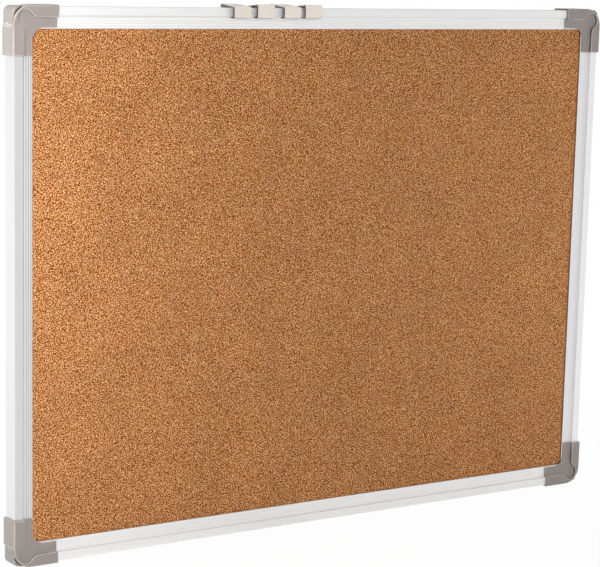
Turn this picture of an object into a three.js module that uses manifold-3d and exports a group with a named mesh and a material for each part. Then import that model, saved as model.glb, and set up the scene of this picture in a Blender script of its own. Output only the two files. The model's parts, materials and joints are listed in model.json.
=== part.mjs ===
// Framed cork pin board: hollow aluminium rails on corner keys, pocketed corner caps, sliding hanger clips.
// Millimetres. X runs right, Z runs up and Y runs back, away from the viewer.
// Depths in the sizes below are measured back from the rails' front face.
import * as THREE from "three";
import { mergeVertices } from "three/addons/utils/BufferGeometryUtils.js";
import Module from "manifold-3d";

const wasm = await Module();
wasm.setup();

// Clearances
const FIT = 0.3; // between pieces that slide into or lie on each other
const GLUE_LINE = 0.1; // between the bonded layers of the panel
const CUT_OVERRUN = 1; // how far a cutting solid runs past the face that it opens

// Frame rails: a hollow box with a stepped front flange and a short rear flange that hold the panel
const FRAME_WIDTH = 597;
const FRAME_HEIGHT = 447;
const RAIL_DEPTH = 16;
const RAIL_WALL = 1.2;
const BAND_WIDTH = 7.2; // raised outer band, as wide as the hollow box
const FLANGE_SET_BACK = 2.8;
const FLANGE_WIDTH = 10.1;
const REAR_FLANGE_WIDTH = 5.8;
const RAIL_EDGE_RADIUS = 0.6;
const GROOVE_COUNT = 4;
const GROOVE_WIDTH = 0.6;
const GROOVE_DEPTH = 0.4;
const GROOVE_PITCH = 2.1;
const GROOVE_START = 1.9; // from the band's wall to the first groove

// Panel
const CORK_THICKNESS = 2;
const CORE_THICKNESS = 3.4;
const LINER_THICKNESS = 0.3;
const LINER_MARGIN = 1.5; // from the rear flange's edge to the liner

// Corner keys: two tongues in the hollow rails
const KEY_REACH = 46; // from the frame's outer corner to a tongue's tip

// Corner caps
const CAP_ARM = 39.6; // over the cap's outer faces
const CAP_WALL = 1.2;
const CAP_FRONT_WALL = 1.5;
const CAP_BACK_WALL = 1.5;
const CAP_RECESS_WALL = 1.1;
const CAP_RIM_WIDTH = 9.8;
const CAP_EDGE_GAP = 1; // the rail's lip left bare inside the cap
const CAP_FRONT_RADIUS = 15.5;
const CAP_BODY_RADIUS = 5;
const CAP_INNER_RADIUS = 10.5;
const CAP_LEDGE_DROP = 2.6; // from the rim's face down to the ledge at the outer corner
const LEDGE_GROOVE_WIDTH = 0.6; // crescent cut into the ledge along the rim's round corner
const LEDGE_GROOVE_DEPTH = 0.35;
const LEDGE_GROOVE_RADIUS = 10.4;
const CAP_INSET = 1; // side walls drawn in around the outer corner
const CAP_INSET_LENGTH = 17;
const CAP_INSET_SLOPE = 1.4;
const CAP_BACK_OVERLAP = 1.3; // back wall's reach past the hollow box
const LOBE_RIM = 3.9; // rim left outside the round end of the recess
const LOBE_RADIUS = 6.9;
const LOBE_BLEND_END = 22; // where the recess settles to the arm's width
const PIP_RADIUS = 1.3;
const PIP_HEIGHT = 0.8;
const PIP_DEPTH = 11;

// Cap screws: countersunk, driven from behind through cap and rail into the key
const SCREW_FROM_CORNER = 28;
const SCREW_LENGTH = 10;
const SCREW_SHANK_RADIUS = 1.45;
const SCREW_HEAD_RADIUS = 2.5;
const SCREW_HEAD_RIM = 0.2;
const SCREW_TIP_LENGTH = 2;
const DRIVE_WIDTH = 0.6;
const DRIVE_LENGTH = 2.6;
const DRIVE_DEPTH = 0.7;

// Hanger clips: bent spring steel with a low leg, a tall leg and a lip on each
const CLIP_WIDTH = 16.5;
const CLIP_SHEET = 0.8;
const CLIP_FRONT_GAP = 3.7;
const CLIP_BACK_GAP = 0.9;
const CLIP_RISE = 2.3; // how much higher the plate is at the tall leg
const CLIP_LIP_CLEARANCE = 0.6; // from a lip's tip to the flange in front of it
const CLIP_BEND_RADIUS = 1.1; // outside a bend
const CLIP_SLOT_LENGTH = 10.7;
const CLIP_SLOT_WIDTH = 4.4;
const CLIP_CENTRES = [-93, -70.2, -43.8, -22.8]; // along the top rail, from its middle
const CLIP_TALL_IN_FRONT = [false, true, false, true];

// Curve steps
const ARC_STEPS = 8;
const ROUND_STEPS = 24;

// Places across a rail, measured inwards from its outer face
const flangeEdge = BAND_WIDTH + FLANGE_WIDTH;
const rearFlangeEdge = BAND_WIDTH + REAR_FLANGE_WIDTH;
const chamberMiddle = BAND_WIDTH / 2;
const panelEdge = BAND_WIDTH + FIT;
const linerEdge = rearFlangeEdge + LINER_MARGIN;
const railEnd = flangeEdge + FIT; // a rail stops short of the crossing rail's lip
const capFace = -(FIT + CAP_WALL);
const capInnerEdge = flangeEdge - CAP_EDGE_GAP;
const capArmEnd = capFace + CAP_ARM;
const capBackEdge = BAND_WIDTH + CAP_BACK_OVERLAP;
const pocketCorner = capFace + CAP_INSET + CAP_WALL;
const pocketRadius = CAP_BODY_RADIUS - CAP_WALL;
const keyOuter = RAIL_WALL + FIT;
const keyInner = BAND_WIDTH - RAIL_WALL - FIT;
const keyRadius = pocketRadius - (keyOuter - pocketCorner); // round the same centre as the cap's pocket
const screwReach = capFace + SCREW_FROM_CORNER; // along a rail from the frame's outer corner

// Depths
const slotFront = FLANGE_SET_BACK + RAIL_WALL;
const corkFront = slotFront + FIT;
const corkBack = corkFront + CORK_THICKNESS;
const coreFront = corkBack + GLUE_LINE;
const coreBack = coreFront + CORE_THICKNESS;
const linerFront = coreBack + GLUE_LINE;
const linerBack = linerFront + LINER_THICKNESS;
const rearFlangeFront = coreBack + FIT;
const rearFlangeBack = rearFlangeFront + RAIL_WALL;
const capFront = -(FIT + CAP_FRONT_WALL);
const capLedge = capFront + CAP_LEDGE_DROP;
const recessBack = FLANGE_SET_BACK - FIT;
const recessFront = recessBack - CAP_RECESS_WALL;
const capBackInside = RAIL_DEPTH + FIT;
const capBack = capBackInside + CAP_BACK_WALL;
const keyFront = recessBack + FIT;
const keyBack = RAIL_DEPTH - RAIL_WALL - FIT;

// Materials
const standard = (color, roughness, metalness) =>
  new THREE.MeshStandardMaterial({ color, roughness, metalness });
const aluminium = standard("#dcdcdd", 0.35, 0.9);
const capPlastic = standard("#a8a29d", 0.5, 0);
const keyPlastic = standard("#2f3032", 0.6, 0);
const zincSteel = standard("#b9bbbd", 0.35, 1);
const nickelSteel = standard("#dfd5ca", 0.22, 1);
const cork = standard("#bb8050", 0.9, 0);
const fibreboard = standard("#8d7150", 0.9, 0);
const linerPaper = standard("#cfc8bb", 0.85, 0);

// Solids

// A closed geometry as a solid that can be joined or cut.
function solidOf(geometry) {
  geometry.deleteAttribute("normal");
  geometry.deleteAttribute("uv");
  const merged = mergeVertices(geometry, 1e-4);
  return new wasm.Manifold(
    new wasm.Mesh({
      numProp: 3,
      vertProperties: merged.attributes.position.array,
      triVerts: new Uint32Array(merged.index.array),
    }),
  );
}

function meshOf(name, solid, material) {
  const made = solid.getMesh();
  const geometry = new THREE.BufferGeometry();
  geometry.setAttribute("position", new THREE.BufferAttribute(made.vertProperties, 3));
  geometry.setIndex(new THREE.BufferAttribute(made.triVerts, 1));
  geometry.computeVertexNormals();
  const mesh = new THREE.Mesh(geometry, material);
  mesh.name = name;
  return mesh;
}

const cutAll = (solid, cutters) => cutters.reduce((left, cutter) => left.subtract(cutter), solid);

// A closed outline through the corners [x, y, radius], each rounded by an arc; radius 0 keeps it sharp.
function outline(corners) {
  const shape = new THREE.Shape();
  corners.forEach(([x, y, radius = 0], i) => {
    const corner = new THREE.Vector2(x, y);
    const before = new THREE.Vector2(...corners.at(i - 1).slice(0, 2)).sub(corner).normalize();
    const after = new THREE.Vector2(...corners[(i + 1) % corners.length].slice(0, 2)).sub(corner).normalize();
    const turn = Math.PI - Math.acos(before.dot(after));
    const tangent = radius * Math.tan(turn / 2);
    const handle = tangent - (4 / 3) * radius * Math.tan(turn / 4);
    const from = before.clone().multiplyScalar(tangent).add(corner);
    const to = after.clone().multiplyScalar(tangent).add(corner);
    if (i === 0) shape.moveTo(from.x, from.y);
    else shape.lineTo(from.x, from.y);
    if (radius === 0) return;
    const bendIn = before.multiplyScalar(handle).add(corner);
    const bendOut = after.multiplyScalar(handle).add(corner);
    shape.bezierCurveTo(bendIn.x, bendIn.y, bendOut.x, bendOut.y, to.x, to.y);
  });
  shape.closePath();
  return shape;
}

const rectangle = (x0, y0, x1, y1, radius = 0) =>
  outline([
    [x0, y0, radius],
    [x1, y0, radius],
    [x1, y1, radius],
    [x0, y1, radius],
  ]);

// The outline drawn in X and Z, filled between two depths.
function plate(shape, front, back) {
  const settings = { depth: back - front, bevelEnabled: false, curveSegments: ARC_STEPS };
  return solidOf(new THREE.ExtrudeGeometry(shape, settings).rotateX(Math.PI / 2).translate(0, back, 0));
}

// The outline drawn inwards and backwards, run along X about the middle.
function run(shape, length) {
  const settings = { depth: length, bevelEnabled: false, curveSegments: ARC_STEPS };
  return solidOf(new THREE.ExtrudeGeometry(shape, settings).rotateY(-Math.PI / 2).translate(length / 2, 0, 0));
}

// A profile of [radius, depth] points turned about a line that runs back at (x, z).
const turned = (points, x, z) =>
  solidOf(
    new THREE.LatheGeometry(
      points.map(([radius, depth]) => new THREE.Vector2(radius, depth)),
      ROUND_STEPS,
    ).translate(x, 0, z),
  );

// Screws

// A countersunk screw's profile from its tip to its head; grown by the clearance it is the hole for that screw.
function screwProfile(clearance, overrun) {
  const shank = SCREW_SHANK_RADIUS + clearance;
  const head = SCREW_HEAD_RADIUS + clearance;
  const headEdge = capBack - SCREW_HEAD_RIM;
  const tip = capBack - SCREW_LENGTH - clearance;
  return [
    [0, tip],
    [shank, tip + SCREW_TIP_LENGTH],
    [shank, headEdge - (head - shank)],
    [head, headEdge],
    [head, capBack + overrun],
    [0, capBack + overrun],
  ];
}

const screwHole = (x, z) => turned(screwProfile(FIT, CUT_OVERRUN), x, z);

function screw(x, z) {
  const half = DRIVE_LENGTH / 2;
  const thin = DRIVE_WIDTH / 2;
  const bottom = capBack - DRIVE_DEPTH;
  const top = capBack + CUT_OVERRUN;
  return cutAll(turned(screwProfile(0, 0), x, z), [
    plate(rectangle(x - half, z - thin, x + half, z + thin), bottom, top),
    plate(rectangle(x - thin, z - half, x + thin, z + half), bottom, top),
  ]);
}

// Rails

function railOutline() {
  const front = [
    [0, 0, RAIL_EDGE_RADIUS],
    [BAND_WIDTH, 0, RAIL_EDGE_RADIUS],
    [BAND_WIDTH, FLANGE_SET_BACK],
  ];
  const grooves = Array.from({ length: GROOVE_COUNT }, (_, i) => {
    const start = BAND_WIDTH + GROOVE_START + i * GROOVE_PITCH;
    const floor = FLANGE_SET_BACK + GROOVE_DEPTH;
    return [
      [start, FLANGE_SET_BACK],
      [start, floor],
      [start + GROOVE_WIDTH, floor],
      [start + GROOVE_WIDTH, FLANGE_SET_BACK],
    ];
  });
  const inside = [
    [flangeEdge, FLANGE_SET_BACK, RAIL_EDGE_RADIUS],
    [flangeEdge, slotFront],
    [BAND_WIDTH, slotFront],
    [BAND_WIDTH, rearFlangeFront],
    [rearFlangeEdge, rearFlangeFront],
    [rearFlangeEdge, rearFlangeBack],
    [BAND_WIDTH, rearFlangeBack],
    [BAND_WIDTH, RAIL_DEPTH, RAIL_EDGE_RADIUS],
    [0, RAIL_DEPTH, RAIL_EDGE_RADIUS],
  ];
  const shape = outline([...front, ...grooves.flat(), ...inside]);
  shape.holes.push(rectangle(RAIL_WALL, RAIL_WALL, BAND_WIDTH - RAIL_WALL, RAIL_DEPTH - RAIL_WALL));
  return shape;
}

// A rail lying along X with its outer face at Z 0, holed for the screws of the caps at its ends.
function rail(frameLength) {
  const bar = run(railOutline(), frameLength - 2 * railEnd);
  const screwPlace = frameLength / 2 - screwReach;
  return cutAll(bar, [screwHole(screwPlace, chamberMiddle), screwHole(-screwPlace, chamberMiddle)]);
}

// Corners: X and Z run inwards from the frame's outer corner

// The L between an outer corner and an inner one, given the outer side's own corners.
function cornerOutline(outerSide) {
  return outline([
    ...outerSide,
    [capArmEnd, capFace],
    [capArmEnd, capInnerEdge],
    [capInnerEdge, capInnerEdge, CAP_INNER_RADIUS],
    [capInnerEdge, capArmEnd],
    [capFace, capArmEnd],
  ]);
}

function capBodyOutline() {
  const drawnIn = capFace + CAP_INSET;
  const insetEnd = capFace + CAP_INSET_LENGTH;
  const shape = [
    [capFace, insetEnd],
    [drawnIn, insetEnd - CAP_INSET_SLOPE],
    [drawnIn, drawnIn, CAP_BODY_RADIUS],
    [insetEnd - CAP_INSET_SLOPE, drawnIn],
    [insetEnd, capFace],
  ];
  return cornerOutline(shape);
}

// The sunk front face: two arms that swell into a round lobe at the outer corner.
function recessOutline() {
  const side = capFace + CAP_RIM_WIDTH;
  const lobeEdge = capFace + LOBE_RIM;
  const lobeMiddle = lobeEdge + LOBE_RADIUS;
  const blendEnd = capFace + LOBE_BLEND_END;
  const blendMiddle = (lobeMiddle + blendEnd) / 2;
  const past = capArmEnd + CUT_OVERRUN;
  const shape = new THREE.Shape();
  shape.moveTo(past, side);
  shape.lineTo(blendEnd, side);
  shape.bezierCurveTo(blendMiddle, side, blendMiddle, lobeEdge, lobeMiddle, lobeEdge);
  shape.absarc(lobeMiddle, lobeMiddle, LOBE_RADIUS, -Math.PI / 2, -Math.PI, true);
  shape.bezierCurveTo(lobeEdge, blendMiddle, side, blendMiddle, side, blendEnd);
  shape.lineTo(side, past);
  shape.lineTo(past, past);
  shape.closePath();
  return shape;
}

// The crescent groove that sets the rim's round corner off from the ledge.
function ledgeGroove(rimOutline) {
  const rimMiddle = capFace + CAP_FRONT_RADIUS;
  const outward = CAP_FRONT_RADIUS + LEDGE_GROOVE_WIDTH - LEDGE_GROOVE_RADIUS;
  const middle = rimMiddle - outward * Math.SQRT1_2;
  const disc = new THREE.Shape();
  disc.absarc(middle, middle, LEDGE_GROOVE_RADIUS, 0, 2 * Math.PI, false);
  const front = capLedge - CUT_OVERRUN;
  const floor = capLedge + LEDGE_GROOVE_DEPTH;
  return plate(disc, front, floor).subtract(plate(rimOutline, front - CUT_OVERRUN, floor + CUT_OVERRUN));
}

// The small pips at the ends of the two drawn-in side walls.
function pips() {
  const wall = capFace + CAP_INSET;
  const along = capFace + CAP_INSET_LENGTH - CAP_INSET_SLOPE;
  const length = PIP_HEIGHT + CAP_WALL / 2;
  const across = wall - PIP_HEIGHT + length / 2;
  const peg = () => new THREE.CylinderGeometry(PIP_RADIUS, PIP_RADIUS, length, ROUND_STEPS);
  return [
    solidOf(peg().rotateX(Math.PI / 2).translate(along, PIP_DEPTH, across)),
    solidOf(peg().rotateZ(Math.PI / 2).translate(across, PIP_DEPTH, along)),
  ];
}

function cornerCap() {
  const past = capArmEnd + CUT_OVERRUN;
  const boxSide = BAND_WIDTH + FIT;
  const boxStart = flangeEdge;
  const pocket = outline([
    [pocketCorner, pocketCorner, pocketRadius],
    [past, pocketCorner],
    [past, past],
    [pocketCorner, past],
  ]);
  const rimOutline = cornerOutline([[capFace, capFace, CAP_FRONT_RADIUS]]);
  const front = plate(rimOutline, capFront, capLedge);
  const body = plate(capBodyOutline(), capLedge, capBack);
  const shell = cutAll(front.add(body), [
    plate(pocket, recessBack, capBackInside),
    plate(rectangle(boxStart, -FIT, past, boxSide), -FIT, capBackInside),
    plate(rectangle(-FIT, boxStart, boxSide, past), -FIT, capBackInside),
    plate(rectangle(capBackEdge, capBackEdge, past, past), recessBack, capBack + CUT_OVERRUN),
    plate(recessOutline(), capFront - CUT_OVERRUN, recessFront),
    ledgeGroove(rimOutline),
    screwHole(screwReach, chamberMiddle),
    screwHole(chamberMiddle, screwReach),
  ]);
  return pips().reduce((cap, peg) => cap.add(peg), shell);
}

function cornerKey() {
  const shape = outline([
    [keyOuter, keyOuter, keyRadius],
    [KEY_REACH, keyOuter],
    [KEY_REACH, keyInner],
    [keyInner, keyInner],
    [keyInner, KEY_REACH],
    [keyOuter, KEY_REACH],
  ]);
  return cutAll(plate(shape, keyFront, keyBack), [
    screwHole(screwReach, chamberMiddle),
    screwHole(chamberMiddle, screwReach),
  ]);
}

// Clips

// A clip around the top rail, low leg forward: X along the rail, Z up from the rail's top, Y from the clip's middle.
function hangerClip() {
  const half = (RAIL_DEPTH + CLIP_FRONT_GAP + CLIP_BACK_GAP) / 2 + CLIP_SHEET;
  const inside = half - CLIP_SHEET;
  const slope = CLIP_RISE / (2 * half);
  const plateDrop = CLIP_SHEET * Math.hypot(1, slope);
  const nearestRail = Math.min(CLIP_FRONT_GAP, CLIP_BACK_GAP) + CLIP_SHEET;
  const lowTop = FIT + plateDrop - slope * nearestRail;
  const top = (y) => lowTop + slope * (y + half);
  const lipTop = -(BAND_WIDTH + FIT);
  const lipBottom = lipTop - CLIP_SHEET;
  const frontRoom = CLIP_FRONT_GAP + FLANGE_SET_BACK - CLIP_LIP_CLEARANCE;
  const backRoom = RAIL_DEPTH + CLIP_BACK_GAP - rearFlangeBack - CLIP_LIP_CLEARANCE;
  const lipEnd = inside - Math.min(frontRoom, backRoom);
  const bend = CLIP_BEND_RADIUS;
  const insideBend = bend - CLIP_SHEET;
  const section = outline([
    [lipBottom, -lipEnd],
    [lipBottom, -half, bend],
    [top(-half), -half, bend],
    [top(half), half, bend],
    [lipBottom, half, bend],
    [lipBottom, lipEnd],
    [lipTop, lipEnd],
    [lipTop, inside, insideBend],
    [top(inside) - plateDrop, inside, insideBend],
    [top(-inside) - plateDrop, -inside, insideBend],
    [lipTop, -inside, insideBend],
    [lipTop, -lipEnd],
  ]);
  const slotHalf = CLIP_SLOT_LENGTH / 2;
  const slotSide = CLIP_SLOT_WIDTH / 2;
  const slot = new THREE.ExtrudeGeometry(rectangle(-slotHalf, -slotSide, slotHalf, slotSide, slotSide), {
    depth: top(half) + CUT_OVERRUN,
    bevelEnabled: false,
    curveSegments: ARC_STEPS,
  });
  return run(section, CLIP_WIDTH).subtract(solidOf(slot));
}

// Assembly

const board = new THREE.Group();
board.position.y = -linerBack; // the part's origin is the middle of the liner's rear face

// The panel's layers
const layer = (edge, front, back) => {
  const x = FRAME_WIDTH / 2 - edge;
  const z = FRAME_HEIGHT / 2 - edge;
  return plate(rectangle(-x, -z, x, z), front, back);
};
board.add(meshOf("cork_sheet", layer(panelEdge, corkFront, corkBack), cork));
board.add(meshOf("fibreboard_core", layer(panelEdge, coreFront, coreBack), fibreboard));
board.add(meshOf("back_liner", layer(linerEdge, linerFront, linerBack), linerPaper));

// Each quarter turn about Y carries a side and the corner that follows it to the next one.
const sides = ["bottom", "left", "top", "right"];
const corners = ["bottom_left", "top_left", "top_right", "bottom_right"];
sides.forEach((side, quarter) => {
  const across = quarter % 2 === 0;
  const length = across ? FRAME_WIDTH : FRAME_HEIGHT;
  const height = across ? FRAME_HEIGHT : FRAME_WIDTH;

  const turn = new THREE.Group();
  turn.rotation.y = (quarter * Math.PI) / 2;
  board.add(turn);

  const bar = meshOf("rail_" + side, rail(length), aluminium);
  bar.position.z = -height / 2;
  turn.add(bar);

  const corner = new THREE.Group();
  corner.position.set(-length / 2, 0, -height / 2);
  turn.add(corner);
  corner.add(meshOf("corner_cap_" + corners[quarter], cornerCap(), capPlastic));
  corner.add(meshOf("corner_key_" + corners[quarter], cornerKey(), keyPlastic));
  corner.add(meshOf("cap_screw_" + corners[quarter] + "_1", screw(screwReach, chamberMiddle), zincSteel));
  corner.add(meshOf("cap_screw_" + corners[quarter] + "_2", screw(chamberMiddle, screwReach), zincSteel));
});

// The clips stand on the top rail, every other one turned round.
CLIP_CENTRES.forEach((x, i) => {
  const clip = meshOf("hanger_clip_" + (i + 1), hangerClip(), nickelSteel);
  const middle = (RAIL_DEPTH + CLIP_BACK_GAP - CLIP_FRONT_GAP) / 2;
  clip.position.set(x, middle, FRAME_HEIGHT / 2);
  clip.rotation.z = CLIP_TALL_IN_FRONT[i] ? Math.PI : 0;
  board.add(clip);
});

const group = new THREE.Group();
group.add(board);

export default group;
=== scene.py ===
import json
import math

import bmesh
import bpy
from bpy.props import FloatProperty, FloatVectorProperty, PointerProperty
from bpy.types import Operator, Panel, PropertyGroup
from mathutils import Matrix, Quaternion, Vector, noise


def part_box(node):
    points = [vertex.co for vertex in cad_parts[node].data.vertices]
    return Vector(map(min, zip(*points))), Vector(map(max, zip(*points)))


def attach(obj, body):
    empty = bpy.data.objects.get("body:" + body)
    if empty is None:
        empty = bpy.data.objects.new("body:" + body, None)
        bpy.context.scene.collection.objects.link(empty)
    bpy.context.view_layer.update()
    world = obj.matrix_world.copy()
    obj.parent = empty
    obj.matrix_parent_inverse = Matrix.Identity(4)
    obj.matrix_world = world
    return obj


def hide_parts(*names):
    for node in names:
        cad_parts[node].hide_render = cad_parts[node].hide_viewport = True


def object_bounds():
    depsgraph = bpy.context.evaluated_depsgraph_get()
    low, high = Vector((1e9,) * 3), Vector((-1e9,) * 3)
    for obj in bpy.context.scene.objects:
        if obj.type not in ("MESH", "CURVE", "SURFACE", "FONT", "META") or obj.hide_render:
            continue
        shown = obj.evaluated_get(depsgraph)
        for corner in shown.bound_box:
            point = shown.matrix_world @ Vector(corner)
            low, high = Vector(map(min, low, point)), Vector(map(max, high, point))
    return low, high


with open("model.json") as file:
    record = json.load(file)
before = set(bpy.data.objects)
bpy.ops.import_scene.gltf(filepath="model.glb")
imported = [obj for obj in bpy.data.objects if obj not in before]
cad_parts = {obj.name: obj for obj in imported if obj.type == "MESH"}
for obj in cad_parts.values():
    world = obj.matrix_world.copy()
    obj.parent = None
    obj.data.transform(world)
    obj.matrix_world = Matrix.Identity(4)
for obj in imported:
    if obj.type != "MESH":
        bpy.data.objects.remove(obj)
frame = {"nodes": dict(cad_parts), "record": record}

bl_info = {
    "name": "Cork Pin Board",
    "version": (1, 0, 0),
    "blender": (4, 5, 0),
    "location": "View3D > Sidebar > Pin Board",
    "description": "Gives a framed cork pin board its finishes and sets its stage",
    "category": "Object",
}

# The solids' own box, before any piece is made
CAD_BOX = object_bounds()

# Blender works in metres
MM = 0.001

# Tolerances for merging and reading the solids' meshes
WELD = 1e-6
SAME_PLACE = 0.02 * MM
FLAT_ANGLE = math.radians(1)
SHARP_ANGLE = math.radians(25)
CREASE_ANGLE = math.radians(60)

# Least part of a normal along an axis, for a face that looks that way and for one that does so squarely
FACING = 0.5
SQUARELY = 0.8
# Least sum of a normal's two outward parts on a cap's round corner; on a straight side the sum is 1
ROUND_CORNER = 1.05
# Inward part of a normal at which a cap's step wall starts to take painted shade, and at which it takes it
# fully
SHADE_START = 0.3
SHADE_FULL = 0.8
# Shares of a groove's depth between which a face is one of its walls or its floor
GROOVE_FACES = (0.25, 1.1)
# Share of the flange's drop that a face of the raised band stands in front of the flange
BAND_FACES = 0.9

# Spans of a noise texture's values, from nearly all of them to those near its middle
NOISE_ALL = (0.2, 0.8)
NOISE_BROAD = (0.25, 0.75)
NOISE_MOST = (0.3, 0.7)
NOISE_CORE = (0.35, 0.65)
NOISE_UPPER = (0.4, 0.65)

# The colour sockets of a Mix node, which share their names with its other sockets
MIX_FACTOR = 0
MIX_FIRST = 6
MIX_SECOND = 7
MIX_RESULT = 2

BLACK = (0.0, 0.0, 0.0)
WHITE = (1.0, 1.0, 1.0)
UNSTRETCHED = (1.0, 1.0, 1.0)
ALONG_X = 0
ALONG_Z = 2

LAMPS = ("key", "side", "right", "fill", "back")

BODY_OF = {
    node: body
    for body, members in frame["record"]["behaviour"]["bodies"].items()
    for node in members
}


def nodes_called(prefix):
    """The solids whose names start with these letters, in order."""
    return sorted(name for name in frame["nodes"] if name.startswith(prefix))


def progress(value, start, end):
    """How far a value has come from a start to an end, from 0 to 1."""
    return min(max((value - start) / (end - start), 0.0), 1.0)


# Properties


def length(name, description, millimetres):
    """A size property that is written in millimetres and kept in metres."""
    return FloatProperty(
        name=name,
        description=description,
        default=millimetres * MM,
        min=0.0,
        precision=5,
        unit="LENGTH",
        subtype="DISTANCE",
    )


def place(name, description, *metres):
    """A point in the board's frame."""
    return FloatVectorProperty(
        name=name, description=description, default=metres, size=3, unit="LENGTH", subtype="TRANSLATION"
    )


def tint(name, description, *colour):
    """A linear colour."""
    return FloatVectorProperty(
        name=name, description=description, default=colour, size=3, min=0.0, max=1.0, subtype="COLOR"
    )


def share(name, description, value):
    """A number from 0 to 1."""
    return FloatProperty(
        name=name, description=description, default=value, min=0.0, max=1.0, subtype="FACTOR"
    )


def span(name, description, *ends):
    """Two numbers from 0 to 1, at the two ends of a pattern."""
    return FloatVectorProperty(name=name, description=description, default=ends, size=2, min=0.0, max=1.0)


def angle(name, description, degrees):
    """An angle property that is written in degrees."""
    return FloatProperty(
        name=name, description=description, default=math.radians(degrees), unit="ROTATION", subtype="ANGLE"
    )


def watts(name, description, value):
    """A lamp's power."""
    return FloatProperty(name=name, description=description, default=value, min=0.0, unit="POWER")


class CorkSettings(PropertyGroup):
    """Sizes and colours of the cork sheet."""

    mesh_step: length("Mesh step", "Distance between the points of the cork's face", 1.9)
    relief: length("Relief", "How deep the hollows between the face's bumps are", 0.07)
    lump: length("Lump", "Size of the bumps in the face", 3.2)
    pressed: length("Pressed", "How far the sheet is pressed back under the rails' lips", 0.75)
    pressed_start: length("Pressed start", "From the sheet's edge to the start of the slope", 12.4)
    pressed_end: length("Pressed end", "From the sheet's edge to the foot of the slope", 9.4)
    grain: length("Grain", "Size of the cork's grains", 0.48)
    cluster: length("Cluster", "Size of the clusters in which grains have nearly one tone", 0.88)
    own_share: share("Own share", "How much of a grain's tone is its own and not its cluster's", 0.35)
    tone_reach: share("Tone reach", "From the middle tone to the tones of full dark and full pale", 0.25)
    fleck: length("Fleck", "Size of the odd bark flecks and pale chips", 1.05)
    fleck_share: share("Fleck share", "How much of the face is bark flecks, and how much is chips", 0.02)
    fleck_strength: share("Fleck strength", "How clearly the flecks and chips stand out", 0.6)
    grain_turn: angle("Grain turn", "How far the grains' pattern is turned in the board's face", 35)
    gap: share("Gap", "Width of the gaps between grains, in grains", 0.1)
    gap_shade: share("Gap shade", "How dark the gaps between grains are", 0.45)
    patch: length("Patch", "Size of the faint patches in the sheet", 45)
    patch_change: share("Patch change", "How much darker or paler a patch is", 0.06)
    pit_reach: share("Pit reach", "How wide the rounding at a grain's edge is, in grains", 0.3)
    pit_share: share("Pit share", "How much of a grain's height comes from its rounding", 0.7)
    pit_depth: length("Pit depth", "Depth of the pits between grains", 0.12)
    middle: tint("Middle", "Colour of most grains", 0.405, 0.115, 0.006)
    pale: tint("Pale", "Colour of the palest grains", 0.88, 0.55, 0.28)
    dark: tint("Dark", "Colour of the bark-side grains", 0.09, 0.008, 0.001)
    roughness: span("Roughness", "Roughness at a dark and at a pale tone of a grain's own", 0.95, 0.8)
    gloss: share("Gloss", "Strength of the grains' mirroring", 0.1)


class BackingSettings(PropertyGroup):
    """Sizes and colours of the panel behind the cork."""

    fibre: tint("Fibreboard", "Colour of the pressed fibreboard", 0.26, 0.165, 0.085)
    fibre_dark: tint("Dark fibre", "Colour of the fibreboard's dark fibres", 0.13, 0.075, 0.035)
    fibre_mat: length("Fibre mat", "Size of the lumps in the matted fibres", 2.2)
    fibre_width: length("Fibre width", "Width of the fibreboard's fibres", 0.5)
    fibre_slimness: share("Fibre slimness", "Width of a fibre for its length", 0.18)
    fibre_change: share("Fibre change", "How much darker or paler a fibre is", 0.3)
    fibre_depth: length("Fibre depth", "Depth of the fibreboard's rough face", 0.15)
    fibre_roughness: span("Fibre roughness", "Roughness of smooth and of rough fibres", 0.82, 0.96)
    paper: tint("Paper", "Colour of the backing paper", 0.60, 0.555, 0.47)
    paper_dark: tint("Dark paper", "Colour of the fibres in the backing paper", 0.51, 0.46, 0.38)
    mottle: length("Mottle", "Size of the mottles in the paper", 14)
    mottle_share: share("Mottle share", "How much of the paper's tone is mottle and not fibre", 0.6)
    paper_fibre: length("Paper fibre", "Width of the paper's fibres", 0.6)
    paper_slimness: share("Paper slimness", "Width of a paper fibre for its length", 0.22)
    paper_depth: length("Paper depth", "Height of the paper's fibres", 0.08)
    cockle: length("Cockle", "Size of the paper's waves", 60)
    cockle_depth: length("Cockle depth", "Height of the paper's waves", 0.48)
    paper_roughness: span("Paper roughness", "Roughness of smooth and of rough mottles", 0.78, 0.9)


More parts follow.
